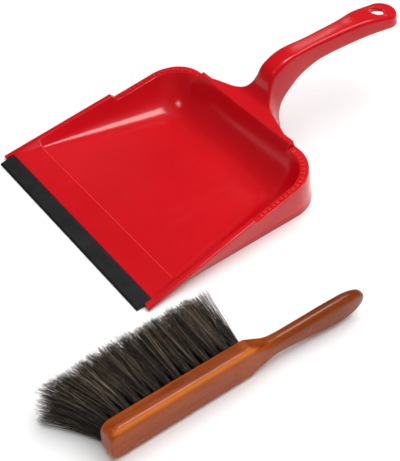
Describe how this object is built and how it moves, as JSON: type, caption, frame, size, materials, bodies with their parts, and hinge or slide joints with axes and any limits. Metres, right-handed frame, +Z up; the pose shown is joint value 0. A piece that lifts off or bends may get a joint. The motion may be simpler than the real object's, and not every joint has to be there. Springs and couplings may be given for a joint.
{
  "type": "dust pan and brush set",
  "caption": "Moulded dust pan with a rubber lip, a comb ledge and a goose-neck handle, with a wooden hand brush lying on its flank beside it.",
  "frame": {"origin": "on the floor, under the middle of the pan's rubber lip", "axes": "+Y from the lip towards the pan's handle, +Z up, +X towards the brush"},
  "size_m": [0.3556, 0.52, 0.0943],
  "materials": {
    "red_plastic": "gloss",
    "lip_rubber": "matt",
    "lacquered_wood": "gloss",
    "horsehair": "satin"
  },
  "bodies": {
    "pan": {"dustpan": "red_plastic", "rubber_lip": "lip_rubber"},
    "brush": {"brush_block": "lacquered_wood", "tuft_r1_c01": "horsehair", "tuft_r1_c02": "horsehair", "tuft_r1_c03": "horsehair", "tuft_r1_c04": "horsehair", "tuft_r1_c05": "horsehair", "tuft_r1_c06": "horsehair", "tuft_r1_c07": "horsehair", "tuft_r1_c08": "horsehair", "tuft_r1_c09": "horsehair", "tuft_r1_c10": "horsehair", "tuft_r1_c11": "horsehair", "tuft_r1_c12": "horsehair", "tuft_r1_c13": "horsehair", "tuft_r1_c14": "horsehair", "tuft_r2_c01": "horsehair", "tuft_r2_c02": "horsehair", "tuft_r2_c03": "horsehair", "tuft_r2_c04": "horsehair", "tuft_r2_c05": "horsehair", "tuft_r2_c06": "horsehair", "tuft_r2_c07": "horsehair", "tuft_r2_c08": "horsehair", "tuft_r2_c09": "horsehair", "tuft_r2_c10": "horsehair", "tuft_r2_c11": "horsehair", "tuft_r2_c12": "horsehair", "tuft_r2_c13": "horsehair", "tuft_r2_c14": "horsehair", "tuft_r3_c01": "horsehair", "tuft_r3_c02": "horsehair", "tuft_r3_c03": "horsehair", "tuft_r3_c04": "horsehair", "tuft_r3_c05": "horsehair", "tuft_r3_c06": "horsehair", "tuft_r3_c07": "horsehair", "tuft_r3_c08": "horsehair", "tuft_r3_c09": "horsehair", "tuft_r3_c10": "horsehair", "tuft_r3_c11": "horsehair", "tuft_r3_c12": "horsehair", "tuft_r3_c13": "horsehair", "tuft_r3_c14": "horsehair", "tuft_r4_c01": "horsehair", "tuft_r4_c02": "horsehair", "tuft_r4_c03": "horsehair", "tuft_r4_c04": "horsehair", "tuft_r4_c05": "horsehair", "tuft_r4_c06": "horsehair", "tuft_r4_c07": "horsehair", "tuft_r4_c08": "horsehair", "tuft_r4_c09": "horsehair", "tuft_r4_c10": "horsehair", "tuft_r4_c11": "horsehair", "tuft_r4_c12": "horsehair", "tuft_r4_c13": "horsehair", "tuft_r4_c14": "horsehair"}
  },
  "joints": [
    {"name": "brush_lift", "type": "slide", "parent": "pan", "child": "brush", "axis": [0, 0, 1], "range_m": [0, 0.25]}
  ]
}
